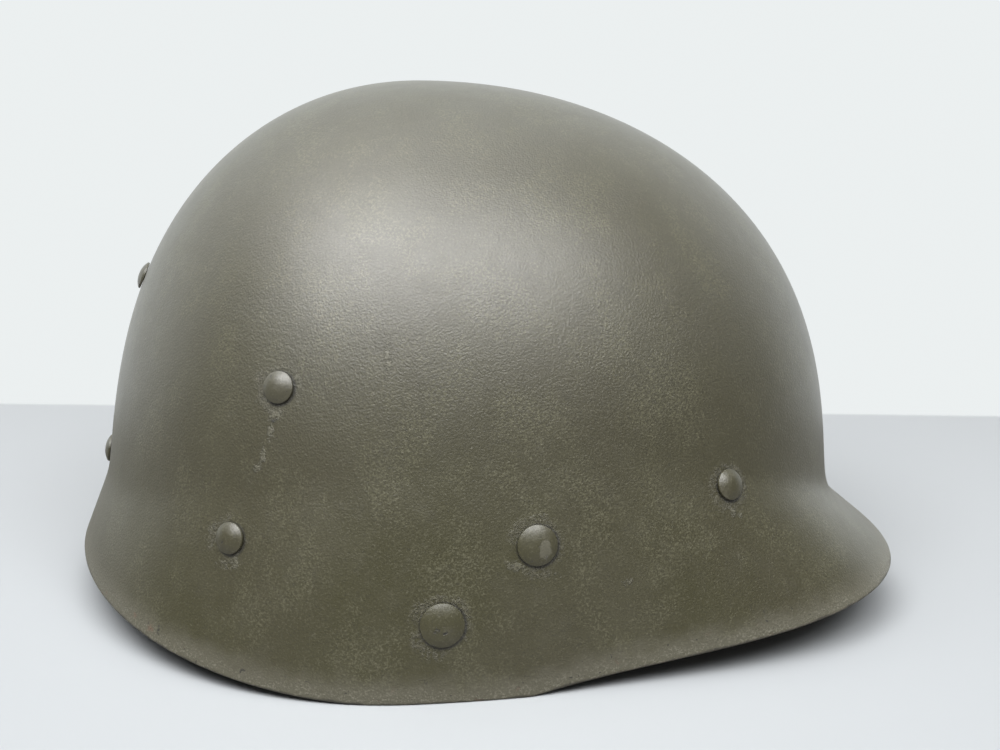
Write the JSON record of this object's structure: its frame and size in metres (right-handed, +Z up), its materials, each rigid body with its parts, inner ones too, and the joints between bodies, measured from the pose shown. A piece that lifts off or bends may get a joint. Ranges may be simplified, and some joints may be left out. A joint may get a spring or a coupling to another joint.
{
  "type": "pot-pattern helmet",
  "caption": "Pot-pattern military helmet shell with visor and flared nape, domed rivet heads, and a webbing harness with leather sweatband, clips, nape band and chinstrap loops.",
  "frame": {"origin": "on the table under the middle of the shell's length, on the plane of symmetry", "axes": "+X to the visor, +Y to the wearer's left, +Z up; stored resting on its side rims"},
  "size_m": [0.2728, 0.226, 0.1664],
  "materials": {
    "shell_paint": "moulded fibre and resin under pebbled semi-matt olive paint",
    "rivet_paint": "steel, semi-matt olive paint",
    "webbing": "khaki herringbone cotton webbing",
    "sweatband_leather": "brown vegetable-tanned leather",
    "hardware_paint": "stamped steel, dark olive enamel",
    "buckle_brass": "blackened brass",
    "snap_brass": "dull brass",
    "loop_wire": "steel wire, dark enamel"
  },
  "bodies": {
    "helmet": {"shell": "shell_paint", "suspension_rivets": "rivet_paint", "nape_rivets": "rivet_paint", "chinstrap_rivets": "rivet_paint", "snap_rivets": "rivet_paint", "crown_strap_front_to_rear": "webbing", "crown_strap_right_front": "webbing", "crown_strap_left_front": "webbing", "support_band": "webbing", "sweatband_backing": "webbing", "nape_band": "webbing", "sweatband_leather": "sweatband_leather", "clinch_washers": "snap_brass", "clip_rivets": "snap_brass", "nape_snap_studs": "snap_brass", "nape_snap_caps": "snap_brass", "snap_sockets": "snap_brass", "chinstrap_bushes": "snap_brass", "strap_hangers": "hardware_paint", "clip_bases": "hardware_paint", "clip_pins": "hardware_paint"},
    "headband_buckle": {"headband_buckle": "buckle_brass"},
    "nape_buckle_right": {"nape_buckle_right": "buckle_brass"},
    "nape_buckle_left": {"nape_buckle_left": "buckle_brass"},
    "chinstrap_hanger_right": {"chinstrap_hanger_right": "hardware_paint"},
    "chinstrap_hanger_left": {"chinstrap_hanger_left": "hardware_paint"},
    "chinstrap_loop_right": {"chinstrap_loop_right": "loop_wire"},
    "chinstrap_loop_left": {"chinstrap_loop_left": "loop_wire"},
    "clip_jaw_front_right": {"clip_jaw_front_right": "hardware_paint"},
    "clip_jaw_front_left": {"clip_jaw_front_left": "hardware_paint"},
    "clip_jaw_side_right": {"clip_jaw_side_right": "hardware_paint"},
    "clip_jaw_side_left": {"clip_jaw_side_left": "hardware_paint"},
    "clip_jaw_rear_right": {"clip_jaw_rear_right": "hardware_paint"},
    "clip_jaw_rear_left": {"clip_jaw_rear_left": "hardware_paint"}
  },
  "joints": [
    {"name": "clip_jaw_front_right_hinge", "type": "hinge", "parent": "helmet", "child": "clip_jaw_front_right", "pos_m": [0.0917, -0.04428, 0.05921], "axis": [-0.602, -0.7842, 0.1501], "range_deg": [0, 35], "stiffness_Nm_per_rad": 0.01, "springref_deg": -17.19},
    {"name": "clip_jaw_front_left_hinge", "type": "hinge", "parent": "helmet", "child": "clip_jaw_front_left", "pos_m": [0.0917, 0.04428, 0.05921], "axis": [0.6022, -0.7841, -0.1502], "range_deg": [0, 35], "stiffness_Nm_per_rad": 0.01, "springref_deg": -17.19},
    {"name": "clip_jaw_side_right_hinge", "type": "hinge", "parent": "helmet", "child": "clip_jaw_side_right", "pos_m": [0.00814, -0.08232, 0.08005], "axis": [-0.9701, -0.0224, 0.2419], "range_deg": [0, 30], "stiffness_Nm_per_rad": 0.01, "springref_deg": -17.19},
    {"name": "clip_jaw_side_left_hinge", "type": "hinge", "parent": "helmet", "child": "clip_jaw_side_left", "pos_m": [0.00814, 0.08232, 0.08005], "axis": [0.9701, -0.0223, -0.2419], "range_deg": [0, 30], "stiffness_Nm_per_rad": 0.01, "springref_deg": -17.19},
    {"name": "clip_jaw_rear_right_hinge", "type": "hinge", "parent": "helmet", "child": "clip_jaw_rear_right", "pos_m": [-0.07868, -0.04704, 0.10169], "axis": [-0.6398, 0.7518, 0.1595], "range_deg": [0, 30], "stiffness_Nm_per_rad": 0.01, "springref_deg": -17.19},
    {"name": "clip_jaw_rear_left_hinge", "type": "hinge", "parent": "helmet", "child": "clip_jaw_rear_left", "pos_m": [-0.07868, 0.04704, 0.10169], "axis": [0.6397, 0.7519, -0.1595], "range_deg": [0, 30], "stiffness_Nm_per_rad": 0.01, "springref_deg": -17.19},
    {"name": "headband_buckle_slide", "type": "hinge", "parent": "helmet", "child": "headband_buckle", "pos_m": [-0.03156, 0, 0.06892], "axis": [0.2419, 0, 0.9703], "range_deg": [-6, 6]},
    {"name": "nape_buckle_right_slide", "type": "hinge", "parent": "helmet", "child": "nape_buckle_right", "pos_m": [-0.01211, 0, 0.0431], "axis": [0, 0, 1], "range_deg": [-10, 10]},
    {"name": "nape_buckle_left_slide", "type": "hinge", "parent": "helmet", "child": "nape_buckle_left", "pos_m": [-0.01211, 0, 0.0431], "axis": [0, 0, 1], "range_deg": [-10, 10]},
    {"name": "chinstrap_hanger_right_swivel", "type": "hinge", "parent": "helmet", "child": "chinstrap_hanger_right", "pos_m": [-0.0241, -0.10573, 0.02237], "axis": [0.0079, -0.9903, 0.1386], "range_deg": [-30, 30]},
    {"name": "chinstrap_loop_right_swing", "type": "hinge", "parent": "chinstrap_hanger_right", "child": "chinstrap_loop_right", "pos_m": [-0.02409, -0.106, 0.0118], "axis": [1, 0.008, 0], "range_deg": [-6, 90]},
    {"name": "chinstrap_hanger_left_swivel", "type": "hinge", "parent": "helmet", "child": "chinstrap_hanger_left", "pos_m": [-0.0241, 0.10573, 0.02237], "axis": [0.0079, 0.9903, 0.1386], "range_deg": [-30, 30]},
    {"name": "chinstrap_loop_left_swing", "type": "hinge", "parent": "chinstrap_hanger_left", "child": "chinstrap_loop_left", "pos_m": [-0.02409, 0.106, 0.0118], "axis": [-1, 0.008, 0], "range_deg": [-6, 90]}
  ]
}
